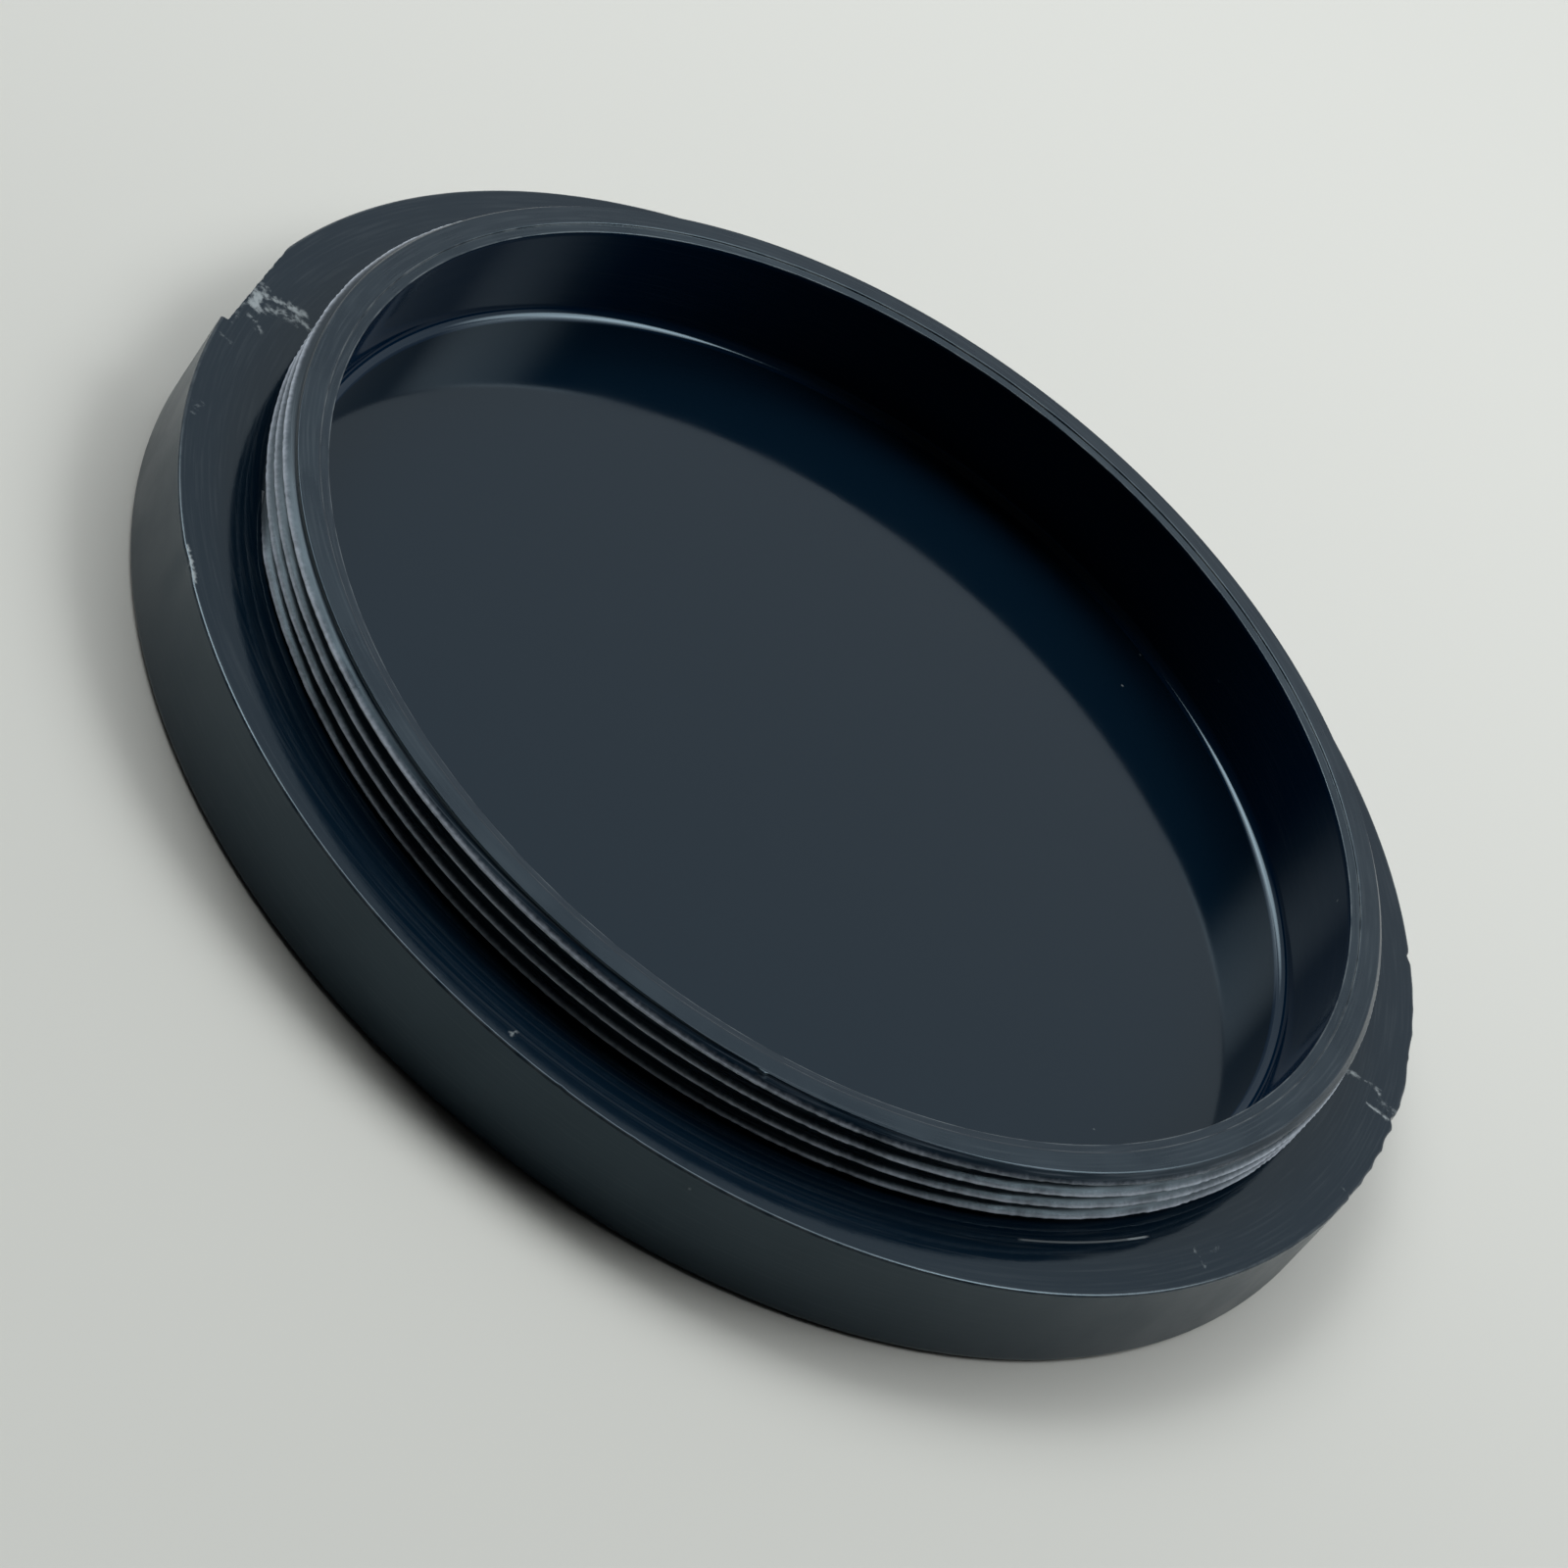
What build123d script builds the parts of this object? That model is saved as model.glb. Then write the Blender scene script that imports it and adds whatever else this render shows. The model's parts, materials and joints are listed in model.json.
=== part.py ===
"""One-piece moulded screw-in dust cap: a round flange, a collar with a fine external
thread, and a recessed floor inside the collar.

Frame: millimetres, +Z up along the cap's axis, towards the collar. The origin is the
centre of the outer face, on which the cap stands. The mould's parting line lies on X,
and the trimmed gate is at -X.
"""

import math
import os

from build123d import *

# ---- Driving dimensions, mm and degrees ----
thread_crest_radius = 26.95  # M54 x 0.75 male thread, crests just under nominal
thread_pitch = 0.75
thread_depth = 0.6134 * thread_pitch
thread_flank_angle = 30.0  # each flank, from the plane square to the axis
thread_first_turn_lift = 0.25  # middle of the ridge above the flange where it begins
thread_first_turn_angle = 203.0  # where the ridge begins, about +Z from +X
thread_turns = 3.9  # the last part runs out above the rim

flange_radius = 30.4
flange_height = 4.7
flange_top_break = 0.12
flange_bottom_round = 0.35

collar_height = 3.0
bore_radius_at_rim = 25.05
bore_radius_at_floor = 24.95
rim_bevel_width = 0.45
rim_bevel_depth = 0.25
rim_outer_chamfer = 0.45

relief_depth = 0.03  # hair-fine ring round the thread, where a tube's end starts to seat
relief_width = 0.10
relief_gap = 0.30  # from the thread's crests out to the ring

base_thickness = 2.5
floor_fillet = 0.6

gate_run_in_angle = 170.6  # where the trimming cut starts on the flange, about +Z from +X
gate_step_angle = 184.2  # where the rest of the gate broke off and left a step
gate_step_depth = 0.40  # depth of the cut at the step, at the flange's top face
gate_cut_lean = 2.4  # degrees that the cut leans in, deeper at the top
gate_cut_reach = 10.0  # more than the cut's own length and the flange's height

# ---- Worked out from those ----
thread_root_radius = thread_crest_radius - thread_depth
rim_z = flange_height + collar_height
crest_half_width = thread_pitch / 16
root_half_width = crest_half_width + thread_depth * math.tan(math.radians(thread_flank_angle))
ridge_overlap = 0.15  # how far the ridge's section runs into the collar
thread_start_z = flange_height + thread_first_turn_lift
gate_run_in = Vector(flange_radius, 0, flange_height).rotate(Axis.Z, gate_run_in_angle)
gate_step = Vector(flange_radius - gate_step_depth, 0, flange_height).rotate(
    Axis.Z, gate_step_angle
)
gate_plane = Plane(origin=gate_step, x_dir=gate_run_in - gate_step, z_dir=(0, 0, 1))

os.makedirs("parts", exist_ok=True)


# ---- Thread ridge: one right-hand helix, from the flange up past the rim ----
def ridge_half_width(height):
    """Half the ridge's width along the axis, at a height above the thread's root."""
    return root_half_width - height * math.tan(math.radians(thread_flank_angle))


inner_edge = -ridge_overlap
outer_edge = thread_depth + crest_half_width  # a little past the crest, then trimmed to it
with BuildPart() as thread_ridge:
    with BuildLine() as ridge_path:
        Helix(pitch=thread_pitch, height=thread_pitch * thread_turns, radius=thread_root_radius)
    with BuildSketch(Plane(origin=(thread_root_radius, 0, 0), x_dir=(1, 0, 0), z_dir=(0, 1, 0))):
        with BuildLine():
            Polyline(
                (inner_edge, -ridge_half_width(inner_edge)),
                (outer_edge, -ridge_half_width(outer_edge)),
                (outer_edge, ridge_half_width(outer_edge)),
                (inner_edge, ridge_half_width(inner_edge)),
                close=True,
            )
        make_face()
    sweep(path=ridge_path.line, is_frenet=True)

# ---- The cap's outer limits: crests, rim and the rim's outer chamfer ----
with BuildPart() as cap_envelope:
    with BuildSketch(Plane.XZ):
        with BuildLine():
            Polyline(
                (0, 0),
                (flange_radius, 0),
                (flange_radius, flange_height),
                (thread_crest_radius, flange_height),
                (thread_crest_radius, rim_z - rim_outer_chamfer),
                (thread_crest_radius - rim_outer_chamfer, rim_z),
                (0, rim_z),
                close=True,
            )
        make_face()
    revolve(axis=Axis.Z)

# ---- The cap ----
with BuildPart() as dust_cap:
    # Flange and collar: a disc with a plain core cylinder at the thread's root.
    Cylinder(flange_radius, flange_height, align=(Align.CENTER, Align.CENTER, Align.MIN))
    flange_edges = dust_cap.edges().filter_by(GeomType.CIRCLE)
    chamfer(flange_edges.group_by(Axis.Z)[-1], flange_top_break)
    fillet(flange_edges.group_by(Axis.Z)[0], flange_bottom_round)
    with Locations((0, 0, flange_height)):
        Cylinder(
            thread_root_radius, collar_height, align=(Align.CENTER, Align.CENTER, Align.MIN)
        )
    with Locations((0, 0, thread_start_z)):
        add(thread_ridge.part, rotation=(0, 0, thread_first_turn_angle))
    add(cap_envelope.part, mode=Mode.INTERSECT)

    # Recess inside the collar: drafted wall, shallow bevel at the rim, round at the floor.
    with BuildSketch(Plane.XZ) as recess_profile:
        with BuildLine():
            Polyline(
                (0, base_thickness),
                (bore_radius_at_floor, base_thickness),
                (bore_radius_at_rim, rim_z - rim_bevel_depth),
                (bore_radius_at_rim + rim_bevel_width, rim_z),
                (0, rim_z),
                close=True,
            )
        make_face()
        floor_corner = recess_profile.vertices().group_by(Axis.Y)[0].sort_by(Axis.X)[-1]
        fillet(floor_corner, floor_fillet)
    revolve(axis=Axis.Z, mode=Mode.SUBTRACT)

    # Relief ring: the flange outside it is what a tube's end seats on.
    with BuildSketch(Plane.XY.offset(flange_height)):
        Circle(thread_crest_radius + relief_gap + relief_width)
        Circle(thread_crest_radius + relief_gap, mode=Mode.SUBTRACT)
    extrude(amount=-relief_depth, mode=Mode.SUBTRACT)

    # Trimmed gate: the blade ran in from one side, and left a step where the stub broke off.
    with Locations(gate_plane):
        Box(
            gate_cut_reach,
            gate_cut_reach,
            2 * gate_cut_reach,
            rotation=(gate_cut_lean, 0, 0),
            align=(Align.MIN, Align.MIN, Align.CENTER),
            mode=Mode.SUBTRACT,
        )

dust_cap.part.label = "dust_cap"
export_step(dust_cap.part, "parts/dust_cap.step")
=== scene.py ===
"""Looks of a one-piece screw-in dust cap, moulded in black plastic, lying outer face down.

The cap is one surface, worked out as a whole: a profile from the middle of the outer face,
round the flange, over the threaded collar and down to the middle of the recessed floor,
carried once round the axis. Metres, +Z up, the cap's axis on Z, the mould's parting line on X.
"""

import json
import math

import bpy
import numpy as np
from mathutils import Matrix, Vector


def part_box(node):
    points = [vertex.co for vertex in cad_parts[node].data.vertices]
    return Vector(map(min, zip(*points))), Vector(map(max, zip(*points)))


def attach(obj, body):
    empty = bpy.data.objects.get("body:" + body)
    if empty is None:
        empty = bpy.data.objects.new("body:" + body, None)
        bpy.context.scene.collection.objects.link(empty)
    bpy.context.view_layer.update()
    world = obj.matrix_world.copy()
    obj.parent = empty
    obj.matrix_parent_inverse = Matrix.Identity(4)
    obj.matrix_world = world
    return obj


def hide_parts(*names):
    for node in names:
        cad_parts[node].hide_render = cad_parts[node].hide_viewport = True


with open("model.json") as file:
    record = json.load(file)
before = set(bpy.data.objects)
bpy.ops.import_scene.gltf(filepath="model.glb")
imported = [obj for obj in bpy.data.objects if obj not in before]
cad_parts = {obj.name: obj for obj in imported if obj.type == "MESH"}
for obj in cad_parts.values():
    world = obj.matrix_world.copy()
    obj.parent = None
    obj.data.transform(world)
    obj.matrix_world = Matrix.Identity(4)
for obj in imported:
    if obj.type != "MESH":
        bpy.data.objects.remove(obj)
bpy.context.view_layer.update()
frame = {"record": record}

MM = 0.001
CAP = "dust_cap"

# ---------------------------------------------------------------- sizes from the frame
mounts = {mount["name"]: mount for mount in frame["record"]["mounts"]}
_, far_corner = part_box(CAP)
flange_radius = far_corner[0]
rim_height = far_corner[2]
flange_height = mounts["seat_face"]["pos_m"][2]
crest_radius = mounts["thread"]["dims"]["r_mm"] * MM

# ---------------------------------------------------------------- the rest of the shape
thread_pitch = 0.75 * MM
thread_depth = 0.46 * MM
thread_flank = math.radians(30)  # each flank, from the plane square to the axis
thread_lift = 0.20 * MM  # middle of the ridge above the flange where it starts
thread_start = math.radians(203.0)
crest_half_width = thread_pitch / 16
crest_softness = 0.025 * MM  # size of the round at the crest and at the root
root_radius = crest_radius - thread_depth

rim_chamfer = 0.45 * MM
ledge_width = 0.45 * MM
ledge_drop = 0.07 * MM  # step down from the rim's flat to the ledge inside it
ledge_depth = 0.12 * MM  # from the rim to the ledge's inner edge
bore_radius = 25.05 * MM
bore_radius_at_floor = 24.95 * MM
floor_height = 2.5 * MM
floor_fillet = 0.5 * MM
outer_round = 0.35 * MM
flange_break = 0.12 * MM

cut_start = math.radians(170.6)  # the trimmed gate, from where the blade ran in
cut_step = math.radians(184.2)  # to the step where the rest of the gate broke off
cut_depth = 0.33 * MM
cut_lean = math.radians(2.4)
cut_reach_in = 28 * MM  # nearer to the axis than this nothing is cut
torn_depth = 0.02 * MM  # unevenness of the cut's face
gate = math.radians(180)
parting = 0.0  # the parting line's other end

burr_angle = math.radians(279.8)
burr_half_width = math.radians(0.55)
burr_reach = 0.16 * MM
burr_height = 0.5 * MM  # how far below the rim the burr begins

edge_band = 0.5 * MM  # width of the flange's edge that can be dented
ragged_depth = 0.10 * MM  # unevenness of the flange's edge at the parting line
ragged_spread = math.radians(16)
crest_wear = 0.022 * MM
worn_from = 0.3 * MM  # only what stands this far above the thread's root is worn
# Nicks in the flange's edge: degrees about +Z, depth in millimetres, half width in degrees.
NICKS = (
    (20.6, 0.16, 0.8),
    (359.6, 0.12, 0.9),
    (8.0, 0.08, 2.0),
    (267, 0.05, 0.3),
    (273.5, 0.05, 0.3),
    (214.6, 0.07, 2.2),
    (347.6, 0.06, 0.4),
)

# ---------------------------------------------------------------- how fine the surface is
COLUMNS = 750
STEP_GAP = math.radians(0.04)  # between two columns that hold a step sharp
EDGE_GAP = 0.02 * MM  # between two rows that hold an edge sharp
POLE_RADIUS = 4 * MM  # the innermost row, from which triangles run to the middle
COLLAR_ROWS = 56
FLANGE_ROWS = 20
RIDGES = 5  # turns of the ridge, counting the one that runs out at the rim
START_RUN_IN = 9 / 360  # share of a turn over which the thread's start rises
SEED = 7
# Where columns are closer together: angle, half width in radians, how much closer.
FINE_COLUMNS = (
    (gate, math.radians(7), 2.2),
    (parting, math.radians(14), 1.6),
    (burr_angle, math.radians(1.2), 2.5),
)


# ---------------------------------------------------------------- profile
def near_angle(angle, centre):
    """How far an angle is from the centre, from -180 to 180 degrees, in radians."""
    return np.mod(angle - centre + math.pi, 2 * math.pi) - math.pi


def arc(centre_r, centre_z, radius, start, end, count):
    """Points on a circle about (centre_r, centre_z), from one angle to another in degrees."""
    turn = np.radians(np.linspace(start, end, count))
    return np.column_stack((centre_r + radius * np.cos(turn), centre_z + radius * np.sin(turn)))


def run(start, end, stations):
    """Points on the straight line from start to end, at these shares of its length."""
    start, end = np.array(start), np.array(end)
    return start + np.array(stations)[:, None] * (end - start)


def flange_profile():
    """The outer face, the round below, the side, the break above and the top, as bands."""
    side_top = flange_height - flange_break
    return (
        ("side", run((POLE_RADIUS, 0), (flange_radius - outer_round - EDGE_GAP, 0),
                     (0, 0.4, 0.8, 1))),
        ("side", arc(flange_radius - outer_round, outer_round, outer_round, -90, 0, 7)),
        ("side", run((flange_radius, outer_round + EDGE_GAP), (flange_radius, side_top - EDGE_GAP),
                     (0, 0.25, 0.5, 0.75, 0.9, 1))),
        ("top", arc(flange_radius - flange_break, side_top, flange_break, 0, 90, 5)),
        ("top", run((flange_radius - flange_break - EDGE_GAP, flange_height),
                    (root_radius + EDGE_GAP, flange_height), np.linspace(0, 1, FLANGE_ROWS))),
    )


def collar_profile():
    """The collar at the thread's root, the rim's flat, and the ledge inside it, as bands."""
    rim_edge = crest_radius - rim_chamfer
    ledge_edge = bore_radius + ledge_width
    ledge_top = rim_height - ledge_drop
    return (
        ("thread", run((root_radius, flange_height), (root_radius, rim_height),
                       np.linspace(0, 1, COLLAR_ROWS))),
        ("rim", run((rim_edge - EDGE_GAP, rim_height), (ledge_edge + EDGE_GAP, rim_height),
                    (0, 0.1, 0.5, 0.9, 1))),
        ("rim", run((ledge_edge, rim_height - EDGE_GAP), (ledge_edge - EDGE_GAP, ledge_top),
                    (0, 0.5, 1))),
        ("rim", run((ledge_edge - 2 * EDGE_GAP, ledge_top - 0.2 * EDGE_GAP),
                    (bore_radius + EDGE_GAP, rim_height - ledge_depth + 0.3 * EDGE_GAP),
                    (0, 0.1, 0.9, 1))),
    )


def recess_profile():
    """The drafted bore, the round at its foot and the floor, as bands."""
    fillet_top = floor_height + floor_fillet
    fillet_centre = bore_radius_at_floor - floor_fillet
    return (
        ("bore", run((bore_radius, rim_height - ledge_depth - EDGE_GAP),
                     (bore_radius_at_floor, fillet_top), (0, 0.05, 0.3, 0.6, 0.9, 0.98))),
        ("bore", arc(fillet_centre, fillet_top, floor_fillet, 0, -90, 9)),
        ("floor", run((fillet_centre - EDGE_GAP, floor_height), (POLE_RADIUS, floor_height),
                      (0, 0.05, 0.2, 0.5, 1))),
    )


def cap_profile():
    """Half the cap's section as rows of (radius, height), and the band that each is in.

    It goes out along the outer face, up the flange's side, in along its top, up the collar,
    in over the rim, down the bore and in along the floor.
    """
    bands = flange_profile() + collar_profile() + recess_profile()
    names = np.concatenate([[name] * len(points) for name, points in bands])
    return np.vstack([points for _, points in bands]), names


def column_angles():
    """Angles of the columns, closer together at the parting line, the gate and the burr.

    The columns share out the sum of a density of 1 and a bell curve for each of those places.
    Four more columns, in close pairs, keep the gate's step and the thread's start sharp.
    """
    fine = np.linspace(0, 2 * math.pi, 8001)
    density = 1
    for centre, half_width, closer in FINE_COLUMNS:
        density = density + closer * np.exp(-(near_angle(fine, centre) / half_width) ** 2)
    total = np.concatenate(([0], np.cumsum((density[1:] + density[:-1]) / 2)))
    share = np.arange(COLUMNS) / COLUMNS
    angle = np.interp(share * total[-1], total, fine)
    steps = np.array([cut_step - STEP_GAP, cut_step, thread_start - STEP_GAP, thread_start])
    return np.sort(np.concatenate((angle, steps)))


# ---------------------------------------------------------------- thread
def soft_between(value, top, soft):
    """value held between 0 and top, with rounded corners about soft long."""
    return soft * (np.logaddexp(0, value / soft) - np.logaddexp(0, (value - top) / soft))


def thread_height(angle, height):
    """How far the thread stands above its root, on the collar at this angle and height.

    A ridge with 30 degree flanks winds up right-handed, one pitch a turn, from thread_start.
    Each point takes the highest of the ridges of the turns near it.
    """
    turned = np.mod(angle - thread_start, 2 * math.pi) / (2 * math.pi)
    flank = math.tan(thread_flank)
    best = np.zeros(np.broadcast(angle, height).shape)
    for turn in range(RIDGES):
        middle = flange_height + thread_lift + thread_pitch * (turned + turn)
        rise = (crest_half_width + thread_depth * flank - np.abs(height - middle)) / flank
        ridge = soft_between(rise, thread_depth, crest_softness)
        if turn == 0:
            ridge = ridge * np.sqrt(np.clip(turned / START_RUN_IN, 0, 1))
        best = np.maximum(best, ridge)
    return best


# ---------------------------------------------------------------- faults and cuts
def waves(angle, seed, first, last):
    """A smooth random curve round the axis, between about -1 and 1, that closes on itself.

    It is a sum of sines of every whole number of waves from first up to last.
    """
    draw = np.random.default_rng(seed)
    count = np.arange(first, last)[:, None]
    phase = draw.uniform(0, 2 * math.pi, count.shape)
    size = draw.normal(0, 1, count.shape) / math.sqrt(last - first)
    return (size * np.sin(count * np.ravel(angle)[None, :] + phase)).sum(axis=0)


def bump(value, half_width):
    """1 in the middle, falling smoothly to 0 at half_width from it."""
    return np.clip(1 - (value / half_width) ** 2, 0, 1) ** 2


def dent_flange(radius, height, angle):
    """Make the flange's edge ragged about the parting line at +X, and cut its nicks.

    Both are deepest at the top, and fade downwards as a power of the height.
    """
    outer = (radius > flange_radius - edge_band) & (height > 0)
    off_parting = near_angle(angle, parting)
    uneven = np.abs(waves(angle, SEED, 24, 80)) * np.exp(-(off_parting / ragged_spread) ** 2)
    upper = np.clip(height / flange_height, 0, 1)
    dent = ragged_depth * uneven * upper ** 5
    for where, deep, wide in NICKS:
        nick = bump(near_angle(angle, math.radians(where)), math.radians(wide))
        dent = dent + deep * MM * nick * upper ** 4
    radius -= np.where(outer, dent, 0)


def raise_burr(radius, height, angle, collar):
    """Push out one burr on the rim's chamfer, highest at the rim, where there is room for it."""
    burr = bump(near_angle(angle, burr_angle), burr_half_width)
    rise = np.clip(1 - (rim_height - height) / burr_height, 0, 1)
    radius += np.where(collar & (rise > 0), burr_reach * burr * rise, 0)


def wear_crests(radius, angle, collar):
    """Wear the thread's crests down by a finely wavy amount."""
    worn = np.abs(waves(angle, SEED + 1, 120, 260))
    radius -= np.where(collar & (radius > root_radius + worn_from), crest_wear * worn, 0)


def cut_gate(radius, height, angle):
    """Hold the flange's side behind the trimming cut, a plane that leans in towards the top.

    Seen from above the cut is a chord. A point's limit is the chord's distance from the axis
    over the cosine of the point's angle from the chord's normal.
    """
    reach = flange_radius - cut_depth
    start = flange_radius * np.array([math.cos(cut_start), math.sin(cut_start)])
    end = reach * np.array([math.cos(cut_step), math.sin(cut_step)])
    along = (end - start) / np.linalg.norm(end - start)
    normal = np.array([along[1], -along[0]])
    towards = np.cos(angle) * normal[0] + np.sin(angle) * normal[1]
    torn = torn_depth * waves(angle, SEED + 2, 150, 400)
    limit = (normal @ start + (flange_height - height) * math.tan(cut_lean) + torn) / towards
    beside = (angle > cut_start - math.radians(2)) & (angle < cut_step)
    cut = beside & (radius > cut_reach_in)
    radius[:] = np.where(cut, np.minimum(radius, limit), radius)


# ---------------------------------------------------------------- the cap's surface
def cap_surface():
    """Every point of the cap: rows along the profile, columns round the axis."""
    rows, names = cap_profile()
    angle = column_angles()[None, :]
    radius = rows[:, 0][:, None] + 0 * angle
    height = rows[:, 1][:, None] + 0 * angle

    thread = names == "thread"
    radius[thread] += thread_height(angle, height[thread])
    chamfer = crest_radius - rim_chamfer + (rim_height - height[thread])
    radius[thread] = np.minimum(radius[thread], chamfer)

    collar = thread[:, None]
    dent_flange(radius, height, angle)
    raise_burr(radius, height, angle, collar)
    wear_crests(radius, angle, collar)
    cut_gate(radius, height, angle)
    return radius, height, angle, names


def mesh_from_rows(name, radius, height, angle):
    """A closed mesh from rows of points round the Z axis, with a pole at each end."""
    row_count, column_count = radius.shape
    points = np.stack((radius * np.cos(angle), radius * np.sin(angle), height), axis=-1)
    poles = [[0, 0, height[0].mean()], [0, 0, height[-1].mean()]]
    vertices = np.vstack((points.reshape(-1, 3), poles))

    column = np.arange(column_count)
    beside = np.roll(column, -1)
    row = np.arange(row_count - 1)[:, None] * column_count
    quads = np.stack(
        (row + column, row + beside, row + column_count + beside, row + column_count + column),
        axis=-1,
    ).reshape(-1, 4)
    first_pole = row_count * column_count
    last = (row_count - 1) * column_count
    bottom = np.stack((beside, column, 0 * column + first_pole), axis=-1)
    top = np.stack((last + column, last + beside, 0 * column + first_pole + 1), axis=-1)

    mesh = bpy.data.meshes.new(name)
    mesh.from_pydata(vertices.tolist(), [], quads.tolist() + bottom.tolist() + top.tolist())
    mesh.polygons.foreach_set("use_smooth", np.ones(len(mesh.polygons), bool))
    mesh.update()
    return mesh


# ---------------------------------------------------------------- marks
# Each stroke: its start and end as (degrees about +Z, millimetres from the axis), its width in
# millimetres and its strength.
GATE_SCUFFS = (
    ((179.5, 29.95), (177.6, 29.75), 0.30, 0.55),
    ((180.4, 29.6), (179.1, 29.66), 0.28, 1.0),
    ((182.0, 29.4), (183.1, 28.7), 0.22, 0.5),
    ((180.6, 29.3), (178.9, 28.4), 0.30, 0.6),
    ((178.4, 29.4), (177.6, 28.4), 0.25, 0.7),
    ((177.6, 28.4), (177.4, 27.75), 0.28, 0.85),
    ((179.2, 28.3), (179.0, 27.6), 0.24, 0.55),
    ((178.4, 27.9), (178.6, 27.0), 0.22, 0.7),
    ((186.3, 30.0), (186.7, 29.5), 0.15, 0.3),
    ((184.2, 29.95), (181.0, 29.95), 0.10, 0.5),
    ((197.3, 30.1), (195.6, 29.7), 0.14, 0.35),
    ((196.2, 30.1), (197.6, 29.8), 0.10, 0.3),
)
PARTING_MARKS = (
    ((1.4, 27.2), (1.7, 27.9), 0.20, 0.8),
    ((1.7, 27.9), (2.0, 29.2), 0.10, 0.5),
    ((1.6, 29.05), (1.4, 29.3), 0.14, 0.7),
    ((359.2, 28.9), (359.1, 30.3), 0.11, 0.75),
    ((0.7, 29.5), (0.4, 30.3), 0.30, 0.4),
    ((347.6, 29.95), (347.6, 30.2), 0.10, 0.5),
)
FLANGE_MARKS = (
    ((324.4, 28.97), (324.8, 29.08), 0.10, 0.4),
    ((326.7, 28.85), (327.2, 29.1), 0.09, 0.5),
    ((326.9, 29.36), (326.8, 29.66), 0.09, 0.5),
    ((329.5, 28.89), (329.9, 29.15), 0.07, 0.4),
    ((328.5, 29.15), (329.2, 29.05), 0.07, 0.45),
    ((261.6, 29.9), (261.7, 29.55), 0.11, 0.9),
    ((265.4, 27.67), (265.6, 27.69), 0.09, 0.6),
    ((280.9, 29.36), (281.0, 29.42), 0.09, 0.6),
    ((283.9, 30.1), (284.0, 30.2), 0.09, 0.5),
    ((212.5, 30.25), (216.5, 30.25), 0.10, 0.8),
)
STROKE_SOFTNESS = 1.25  # a stroke is gone at the square of this, in widths from its line
# Paleness of the thread from the root to the crest: partly worn crests, partly a painted highlight on
# them.
THREAD_WEAR_AND_SHEEN_AT_ROOT = 0.06
THREAD_WEAR_AND_SHEEN_TO_CREST = 0.74


def on_cap(degrees, millimetres):
    """A point of the flange from its angle about +Z and its distance from the axis."""
    turn = math.radians(degrees)
    return np.array((millimetres * MM * math.cos(turn), millimetres * MM * math.sin(turn)))


def scuffing_and_crest_sheen(radius, height, angle):
    """How strongly each point is marked by scuffs, from 0 to 1, and on the thread its painted
    highlight.

    The flange's top takes the strongest of its strokes. Each is full along its line from
    start to end, and fades straight to 0 at about one and a half widths from it. On the thread
    the value is partly wear and partly a painted highlight on the crests, and grows with the
    square of the height above the root.
    """
    total = np.zeros(radius.shape)
    x, y = radius * np.cos(angle), radius * np.sin(angle)
    for start, end, width, strength in GATE_SCUFFS + PARTING_MARKS + FLANGE_MARKS:
        begin, whole = on_cap(*start), on_cap(*end) - on_cap(*start)
        share = ((x - begin[0]) * whole[0] + (y - begin[1]) * whole[1]) / (whole @ whole)
        share = np.clip(share, 0, 1)
        away = np.hypot(x - begin[0] - share * whole[0], y - begin[1] - share * whole[1])
        fade = np.clip(STROKE_SOFTNESS - away / (STROKE_SOFTNESS * width * MM), 0, 1)
        total = np.maximum(total, strength * fade)
    on_top = np.abs(height - flange_height) < 0.2 * MM
    above_flange = (height > flange_height + 0.1 * MM) & (height < rim_height)
    on_thread = above_flange & (radius > root_radius + 0.05 * MM)
    # Painted highlight: the thread's crests are paler, partly from wear, partly standing in for the
    # light they catch.
    crest = np.clip((radius - root_radius) / thread_depth, 0, 1)
    thread_wear_and_sheen = THREAD_WEAR_AND_SHEEN_AT_ROOT + THREAD_WEAR_AND_SHEEN_TO_CREST * crest ** 2
    return np.where(on_thread, thread_wear_and_sheen, np.where(on_top, total, 0))


# ---------------------------------------------------------------- materials
BLACK = (0.0012, 0.0065, 0.0140)
SATIN_BLACK = (0.014, 0.024, 0.034)
NAVY_BLACK = (0.0008, 0.011, 0.030)
# Pale of scuffs, dust and wear, and of the painted highlights on the flange's edge and the rim's
# edges.
SCUFFED_AND_SHEEN = (0.24, 0.27, 0.28)
# Blue-white of the thread's crests: partly wear, partly a painted highlight.
WORN_THREAD_AND_CREST_SHEEN = (0.62, 0.69, 0.79)
COOL = (0.62, 0.86, 1.0)  # tint of the reflections

LINE_RADIUS = 27.78 * MM
# The pale line's length, and its strong end: middle, inner and outer half width in degrees.
LINE_SPAN = (315.5, 6.6, 7.4)
LINE_END = (321.4, 0.6, 1.6)
# Painted highlights: fine pale lines along the rim's edges, at the ledge's edge and at the bore's
# edge.
RIM_EDGE_HIGHLIGHTS = (  # distance from the axis, strength
    (bore_radius + ledge_width, 0.35),
    (bore_radius + 0.03 * MM, 0.3),
)

# Sizes of the patterns, in cycles a metre.
STREAK_SCALE = 9000
TEAR_SCALE = 4600
GRAIN_SCALE = 4200
CLOUD_SCALE = 260
DUST_SCALE = 420
# The same on a circle of radius 1 round the axis.
STREAKS_ROUND = 7.0
RIM_PATCHES_ROUND = 14.0
EDGE_PATCHES_ROUND = 30.0
BUMP_DEPTH = 0.02 * MM


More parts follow.
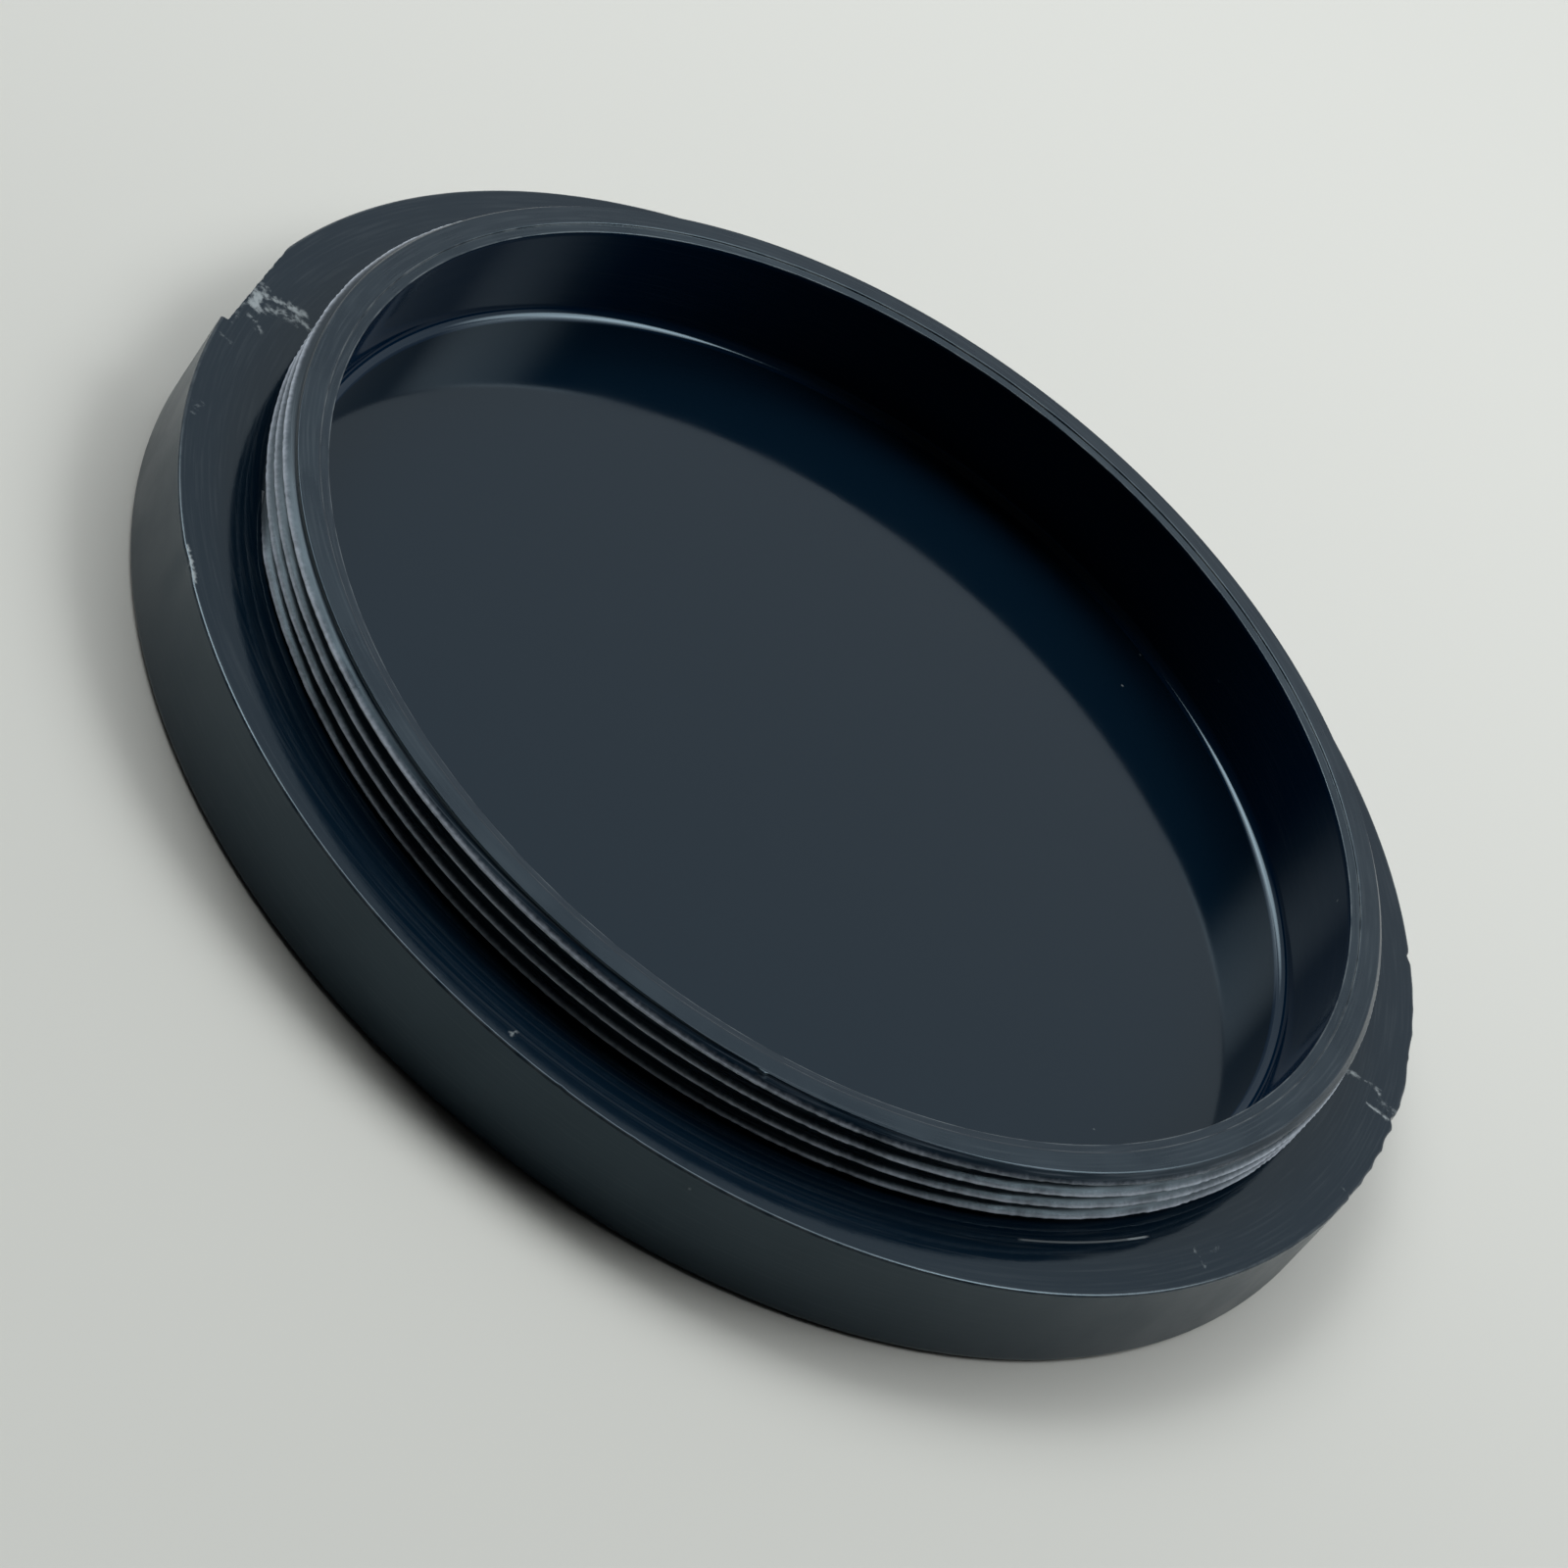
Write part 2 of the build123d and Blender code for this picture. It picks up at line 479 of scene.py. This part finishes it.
class Graph:
    """Adds nodes to one node tree, and links or sets their inputs."""

    def __init__(self, tree):
        self.nodes = tree.nodes
        self.links = tree.links

    def put(self, socket, value):
        """Link a socket to another node's output, or set it to a constant."""
        if isinstance(value, bpy.types.NodeSocket):
            self.links.new(value, socket)
        else:
            socket.default_value = value

    def add(self, kind, settings=None, **inputs):
        """A node of this kind, with its settings, and its inputs named with _ for a space."""
        node = self.nodes.new(kind)
        for setting, value in (settings or {}).items():
            setattr(node, setting, value)
        for name, value in inputs.items():
            self.put(node.inputs[name.replace("_", " ")], value)
        return node

    def math(self, operation, first, second=0.0, clamp=False):
        """One step of arithmetic on two numbers."""
        node = self.add("ShaderNodeMath", {"operation": operation, "use_clamp": clamp})
        self.put(node.inputs[0], first)
        self.put(node.inputs[1], second)
        return node.outputs[0]

    def vector(self, operation, first, second=(0, 0, 0), output="Vector"):
        """One step of arithmetic on vectors. SCALE takes a number as its second value."""
        node = self.add("ShaderNodeVectorMath", {"operation": operation})
        self.put(node.inputs[0], first)
        self.put(node.inputs["Scale"] if operation == "SCALE" else node.inputs[1], second)
        return node.outputs[output]

    def fit(self, value, low_in, high_in, low_out=0.0, high_out=1.0):
        """value taken smoothly from one range to another, and held at its ends."""
        node = self.add("ShaderNodeMapRange", {"interpolation_type": "SMOOTHSTEP"}, Value=value)
        self.put(node.inputs["From Min"], low_in)
        self.put(node.inputs["From Max"], high_in)
        self.put(node.inputs["To Min"], low_out)
        self.put(node.inputs["To Max"], high_out)
        return node.outputs["Result"]

    def noise(self, place, scale, detail):
        """Smooth noise about 0.5 at a place."""
        node = self.add("ShaderNodeTexNoise", Vector=place, Scale=scale, Detail=detail)
        return node.outputs["Fac"]

    def blend(self, share, first, second):
        """A colour between first and second."""
        node = self.add("ShaderNodeMix", {"data_type": "RGBA"})
        self.put(node.inputs[0], share)
        self.put(node.inputs[6], first)
        self.put(node.inputs[7], second)
        return node.outputs[2]


class CapPlace:
    """Where a point of the cap is: its place, outward direction, distance from the axis, height."""

    def __init__(self, graph):
        self.point = graph.add("ShaderNodeTexCoord").outputs["Object"]
        flat = graph.vector("MULTIPLY", self.point, (1, 1, 0))
        self.outward = graph.vector("NORMALIZE", flat)
        self.distance = graph.vector("LENGTH", flat, output="Value")
        self.height = graph.add("ShaderNodeSeparateXYZ", Vector=self.point).outputs["Z"]


def streaks_round(graph, place):
    """Streaks round the axis: noise that changes slowly along a circle, fast across it."""
    across = graph.add("ShaderNodeCombineXYZ")
    graph.put(across.inputs["X"], graph.math("MULTIPLY", place.distance, STREAK_SCALE))
    graph.put(across.inputs["Y"], graph.math("MULTIPLY", place.height, STREAK_SCALE))
    along = graph.vector("SCALE", place.outward, STREAKS_ROUND)
    pattern = graph.vector("ADD", along, across.outputs[0])
    return graph.fit(graph.noise(pattern, 1.0, 3.0), 0.45, 0.75)


def torn_scuffs_and_sheen(graph, place, tear):
    """The attribute of scuffs and of the thread's painted highlight, broken up by noise. A larger
    tear breaks it up more.
    """
    scuffs_and_sheen = graph.add("ShaderNodeAttribute", {"attribute_name": "scuffing_and_crest_sheen"}).outputs["Fac"]
    uneven = graph.math("SUBTRACT", graph.noise(place.point, TEAR_SCALE, 5.0), 0.5)
    torn = graph.math("MULTIPLY", uneven, tear)
    cover = graph.fit(graph.math("ADD", scuffs_and_sheen, torn), 0.2, 0.95)
    return graph.math("MULTIPLY", cover, graph.math("MULTIPLY", scuffs_and_sheen, 1.25, clamp=True))


def patches_round(graph, place, scale, detail, low_in, high_in):
    """Patches round the axis, from 0 to 1."""
    pattern = graph.vector("SCALE", place.outward, scale)
    return graph.fit(graph.noise(pattern, 1.0, detail), low_in, high_in)


def rim_edge_highlight(graph, place, ring, strength):
    """A painted highlight: a fine pale line round the rim at this distance from the axis, along one
    of its edges, broken into patches.
    """
    off = graph.math("ABSOLUTE", graph.math("SUBTRACT", place.distance, ring))
    fine = graph.fit(off, 0.015 * MM, 0.05 * MM, strength, 0.0)
    patchy = patches_round(graph, place, RIM_PATCHES_ROUND, 3.0, 0.35, 0.65)
    return graph.math("MULTIPLY", fine, patchy)


def pale_flange_arc(graph, place):
    """A fine pale line painted round part of the flange's top, strongest at its far end."""
    off = graph.math("ABSOLUTE", graph.math("SUBTRACT", place.distance, LINE_RADIUS))
    fine = graph.fit(off, 0.02 * MM, 0.07 * MM, 1.0, 0.0)

    def near(degrees, inner, outer):
        """1 within the inner angle of a bearing, falling to 0 at the outer angle."""
        turn = math.radians(degrees)
        bearing = (math.cos(turn), math.sin(turn), 0)
        cosine = graph.vector("DOT_PRODUCT", place.outward, bearing, "Value")
        return graph.fit(cosine, math.cos(math.radians(outer)), math.cos(math.radians(inner)))

    whole = graph.math("MULTIPLY", near(*LINE_SPAN), 0.45)
    strong = graph.math("MULTIPLY", near(*LINE_END), 0.9)
    return graph.math("MULTIPLY", fine, graph.math("MAXIMUM", whole, strong))


def dust_specks(graph, place):
    """A few round specks of dust: the middles of about one cell in ten."""
    cells = graph.add("ShaderNodeTexVoronoi", {"feature": "F1"})
    graph.put(cells.inputs["Vector"], place.point)
    graph.put(cells.inputs["Scale"], DUST_SCALE)
    speck = graph.fit(cells.outputs["Distance"], 0.018, 0.045, 1.0, 0.0)
    draw = graph.add("ShaderNodeSeparateColor", Color=cells.outputs["Color"]).outputs[0]
    return graph.math("MULTIPLY", speck, graph.fit(draw, 0.90, 0.92))


def edge_wear_and_highlight(graph, place):
    """Ragged pale band along the flange's outer edge: partly wear, partly a painted highlight of the
    edge's round.
    """
    ragged = patches_round(graph, place, EDGE_PATCHES_ROUND, 4.0, 0.2, 0.7)
    on_edge = graph.fit(place.distance, flange_radius - 0.17 * MM, flange_radius - 0.10 * MM)
    return graph.math("MULTIPLY", on_edge, ragged)


def moulded_plastic(
    name, roughness, grain, streaks, colour=BLACK, worn_and_sheen_colour=SCUFFED_AND_SHEEN, tear=2.2, edge=0.0,
    line=False, rim_edge_highlights=(),
):
    """Black plastic of one finish: its roughness, its fine grain, and what has marked it.

    Where it is marked, dusty, streaked or worn, and where a highlight is painted (the thread's
    crests, the flange's edge, the rim's edges), the colour turns pale and the gloss dull.
    """
    material = bpy.data.materials.new(name)
    material.use_nodes = True
    graph = Graph(material.node_tree)
    shader = material.node_tree.nodes["Principled BSDF"]
    place = CapPlace(graph)

    worn = graph.math("MULTIPLY", streaks_round(graph, place), streaks)
    marks_and_highlights = torn_scuffs_and_sheen(graph, place, tear)
    # Painted highlights along the rim's edges.
    for ring, strength in rim_edge_highlights:
        marks_and_highlights = graph.math("MAXIMUM", marks_and_highlights, rim_edge_highlight(graph, place, ring, strength))
    if line:
        marks_and_highlights = graph.math("MAXIMUM", marks_and_highlights, pale_flange_arc(graph, place))
    pale = graph.math("MAXIMUM", marks_and_highlights, graph.math("MULTIPLY", dust_specks(graph, place), 0.5))
    pale = graph.math("MAXIMUM", pale, graph.math("MULTIPLY", worn, 0.12))
    # The flange's pale edge band: partly wear, partly a painted highlight.
    if edge:
        on_edge = graph.math("MULTIPLY", edge_wear_and_highlight(graph, place), edge)
        pale = graph.math("MAXIMUM", pale, on_edge)
    graph.put(shader.inputs["Base Color"], graph.blend(pale, (*colour, 1), (*worn_and_sheen_colour, 1)))

    clouds = graph.fit(graph.noise(place.point, CLOUD_SCALE, 4.0), 0.3, 0.7, 0.85, 1.15)
    rough = graph.math("MULTIPLY", clouds, roughness)
    rough = graph.math("ADD", rough, graph.math("MULTIPLY", worn, 0.08))
    rough = graph.math("ADD", rough, graph.math("MULTIPLY", pale, 0.3), clamp=True)
    graph.put(shader.inputs["Roughness"], rough)
    shader.inputs["IOR"].default_value = 1.5
    shader.inputs["Specular Tint"].default_value = (*COOL, 1)

    bumps = graph.add("ShaderNodeBump", Strength=grain, Distance=BUMP_DEPTH)
    relief = graph.math("ADD", graph.noise(place.point, GRAIN_SCALE, 2.0), marks_and_highlights)
    graph.put(bumps.inputs["Height"], relief)
    graph.put(shader.inputs["Normal"], bumps.outputs["Normal"])
    return material


# ---------------------------------------------------------------- the cap
def make_finishes():
    """The plastic of each band: its name, roughness, grain and streaks, and what sets it apart."""
    return {
        "side": moulded_plastic("satin_edge", 0.34, 0.10, 0.3, colour=SATIN_BLACK),
        # The top's pale edge band is partly wear, partly a painted highlight.
        "top": moulded_plastic("smooth_flange", 0.10, 0.05, 0.35, edge=0.15, line=True),
        # The thread's pale crests are partly worn and partly a painted highlight.
        "thread": moulded_plastic(
            "thread_plastic", 0.30, 0.08, 0.5, worn_and_sheen_colour=WORN_THREAD_AND_CREST_SHEEN, tear=0.35
        ),
        # The rim's pale lines are painted highlights along its edges.
        "rim": moulded_plastic("rim_plastic", 0.28, 0.06, 0.4, rim_edge_highlights=RIM_EDGE_HIGHLIGHTS),
        "bore": moulded_plastic("polished_bore", 0.07, 0.02, 0.2, colour=NAVY_BLACK),
        "floor": moulded_plastic("polished_floor", 0.08, 0.02, 0.0),
    }


def make_cap():
    """The cap as one piece, each band of faces in its own finish."""
    radius, height, angle, names = cap_surface()
    mesh = mesh_from_rows("cap", radius, height, angle)
    cap = bpy.data.objects.new("moulded_cap", mesh)
    bpy.context.collection.objects.link(cap)
    finishes = make_finishes()
    order = list(finishes)
    for finish in order:
        mesh.materials.append(finishes[finish])
    band = np.array([order.index(name) for name in names[:-1]])
    column_count = radius.shape[1]
    slots = np.concatenate(
        (
            np.repeat(band, column_count),
            np.full(column_count, order.index("side")),
            np.full(column_count, order.index("floor")),
        )
    )
    mesh.polygons.foreach_set("material_index", slots.astype(np.int32))
    # Scuffs, and the painted highlight on the thread's crests, as an attribute for the shader.
    marks = np.append(scuffing_and_crest_sheen(radius, height, angle).ravel(), (0, 0))
    mesh.attributes.new("scuffing_and_crest_sheen", "FLOAT", "POINT").data.foreach_set("value", marks)
    return cap


# ---------------------------------------------------------------- camera
camera_side = math.radians(-95.4)  # the camera's bearing from the cap, about +Z from +X
camera_rise = math.radians(36.2)
camera_distance = 226.4 * MM
camera_roll = math.radians(38.7)
camera_aim = Vector((0.1 * MM, -6.1 * MM, flange_height))
SENSOR_WIDTH = 36
LENS = 124.6
NEAREST_SEEN = 0.01


def make_camera():
    """The camera on its bearing, rise and distance from its aim, then rolled about its axis."""
    back = Vector((
        math.cos(camera_side) * math.cos(camera_rise),
        math.sin(camera_side) * math.cos(camera_rise),
        math.sin(camera_rise),
    ))
    level = Vector((0, 0, 1)).cross(back).normalized()
    upright = back.cross(level)
    right = level * math.cos(camera_roll) + upright * math.sin(camera_roll)
    up = upright * math.cos(camera_roll) - level * math.sin(camera_roll)
    place = Matrix((right, up, back)).transposed().to_4x4()
    place.translation = camera_aim + back * camera_distance
    data = bpy.data.cameras.new("camera")
    data.sensor_width = SENSOR_WIDTH
    data.lens = LENS
    data.clip_start = NEAREST_SEEN
    camera = bpy.data.objects.new("camera", data)
    camera.matrix_world = place
    bpy.context.collection.objects.link(camera)
    bpy.context.scene.camera = camera


# ---------------------------------------------------------------- table
TABLE_HALF = 1.5
TABLE_DROP = 0.02 * MM
TABLE_ROUGHNESS = 0.7
# Painted shade: the table's colour is darker on the camera's side, standing in for the shade of
# someone leaning over it, and paler on the far side.
TABLE_SHADED_NEAR = (0.46, 0.470, 0.442)
TABLE_LIT_FAR = (0.63, 0.640, 0.605)
TABLE_SHADE_BLEND = (-0.07, 0.09)  # from how far before the cap to how far past it the colour changes


def make_floor():
    """A wide pale table top, just under the cap, paler away from the camera's side."""
    half, level = TABLE_HALF, -TABLE_DROP
    mesh = bpy.data.meshes.new("table")
    corners = [(-half, -half, level), (half, -half, level), (half, half, level), (-half, half, level)]
    mesh.from_pydata(corners, [], [(0, 1, 2, 3)])
    table = bpy.data.objects.new("table", mesh)
    bpy.context.collection.objects.link(table)
    material = bpy.data.materials.new("pale_table_painted_shade")
    material.use_nodes = True
    graph = Graph(material.node_tree)
    shader = material.node_tree.nodes["Principled BSDF"]
    point = graph.add("ShaderNodeTexCoord").outputs["Object"]
    away = (-math.cos(camera_side), -math.sin(camera_side), 0)
    # Painted shade: blend from the shaded colour near the camera to the lit colour beyond the cap.
    far = graph.fit(graph.vector("DOT_PRODUCT", point, away, "Value"), *TABLE_SHADE_BLEND)
    colour = graph.blend(far, (*TABLE_SHADED_NEAR, 1), (*TABLE_LIT_FAR, 1))
    graph.put(shader.inputs["Base Color"], colour)
    shader.inputs["Roughness"].default_value = TABLE_ROUGHNESS
    mesh.materials.append(material)


# ---------------------------------------------------------------- light
DIM_STRENGTH = 0.012
HORIZON_STRENGTH = 0.45
ROOM_STRENGTH = 0.55
CEILING_STRENGTH = 3.1
LEFT_STRENGTH = 5.3
RIGHT_STRENGTH = 5.2
ROOM_FROM = 30  # height at which the room is at its full strength, in degrees
CEILING_EDGE = (45, 54)  # heights between which the ceiling begins
FAR_EDGE = (72, 88)  # bearings from the far side between which the lit half ends
# Patches: bearing from the camera's side, height, inner and outer half width, in degrees.
LEFT_LIGHT = (180 + 62, 50, 8, 22)
RIGHT_LIGHT = (180 - 62, 50, 8, 22)
DIM_ABOVE = (0, 61, 43, 48)
ROOM_COLOUR = (0.98, 0.99, 1.0, 1)


def direction(side, rise):
    """The direction at this bearing from the camera's side and this height, in degrees."""
    bearing = camera_side + math.radians(side)
    level = math.cos(math.radians(rise))
    return (level * math.cos(bearing), level * math.sin(bearing), math.sin(math.radians(rise)))


def make_light():
    """A pale room with wide soft lights at the far left and right.

    Overhead and towards the camera it is dim, where someone leans over the table.
    """
    world = bpy.data.worlds.new("room")
    bpy.context.scene.world = world
    world.use_nodes = True
    graph = Graph(world.node_tree)
    background = world.node_tree.nodes["Background"]
    looking = graph.add("ShaderNodeTexCoord").outputs["Generated"]

    def within(towards, inner, outer):
        """1 where this cosine's angle is within the inner one, falling to 0 at the outer."""
        return graph.fit(towards, math.cos(math.radians(outer)), math.cos(math.radians(inner)))

    def patch(side, rise, inner, outer):
        """A round patch of the room about a direction, with a soft edge."""
        towards = graph.vector("DOT_PRODUCT", looking, direction(side, rise), "Value")
        return within(towards, inner, outer)

    def heights(low_degrees, high_degrees):
        """Two heights in degrees as the Z of a direction at each."""
        return (math.sin(math.radians(low_degrees)), math.sin(math.radians(high_degrees)))

    rise = graph.add("ShaderNodeSeparateXYZ", Vector=looking).outputs["Z"]
    level = graph.vector("NORMALIZE", graph.vector("MULTIPLY", looking, (1, 1, 0)))
    far = within(graph.vector("DOT_PRODUCT", level, direction(180, 0), "Value"), *FAR_EDGE)
    ceiling = graph.fit(rise, *heights(*CEILING_EDGE))
    strength = graph.fit(rise, *heights(0, ROOM_FROM), HORIZON_STRENGTH, ROOM_STRENGTH)
    for amount, strong in (
        (ceiling, CEILING_STRENGTH),
        (patch(*LEFT_LIGHT), LEFT_STRENGTH),
        (patch(*RIGHT_LIGHT), RIGHT_STRENGTH),
    ):
        strength = graph.math("ADD", strength, graph.math("MULTIPLY", amount, strong))
    lit = graph.math("MULTIPLY", far, graph.math("SUBTRACT", 1.0, patch(*DIM_ABOVE)))
    strength = graph.math("ADD", graph.math("MULTIPLY", strength, lit), DIM_STRENGTH)
    graph.put(background.inputs["Strength"], strength)
    background.inputs["Color"].default_value = ROOM_COLOUR


# ---------------------------------------------------------------- the scene
make_camera()
make_floor()
make_light()
bpy.context.scene.view_settings.view_transform = "Standard"

cap = make_cap()
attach(cap, "root")
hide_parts(CAP)
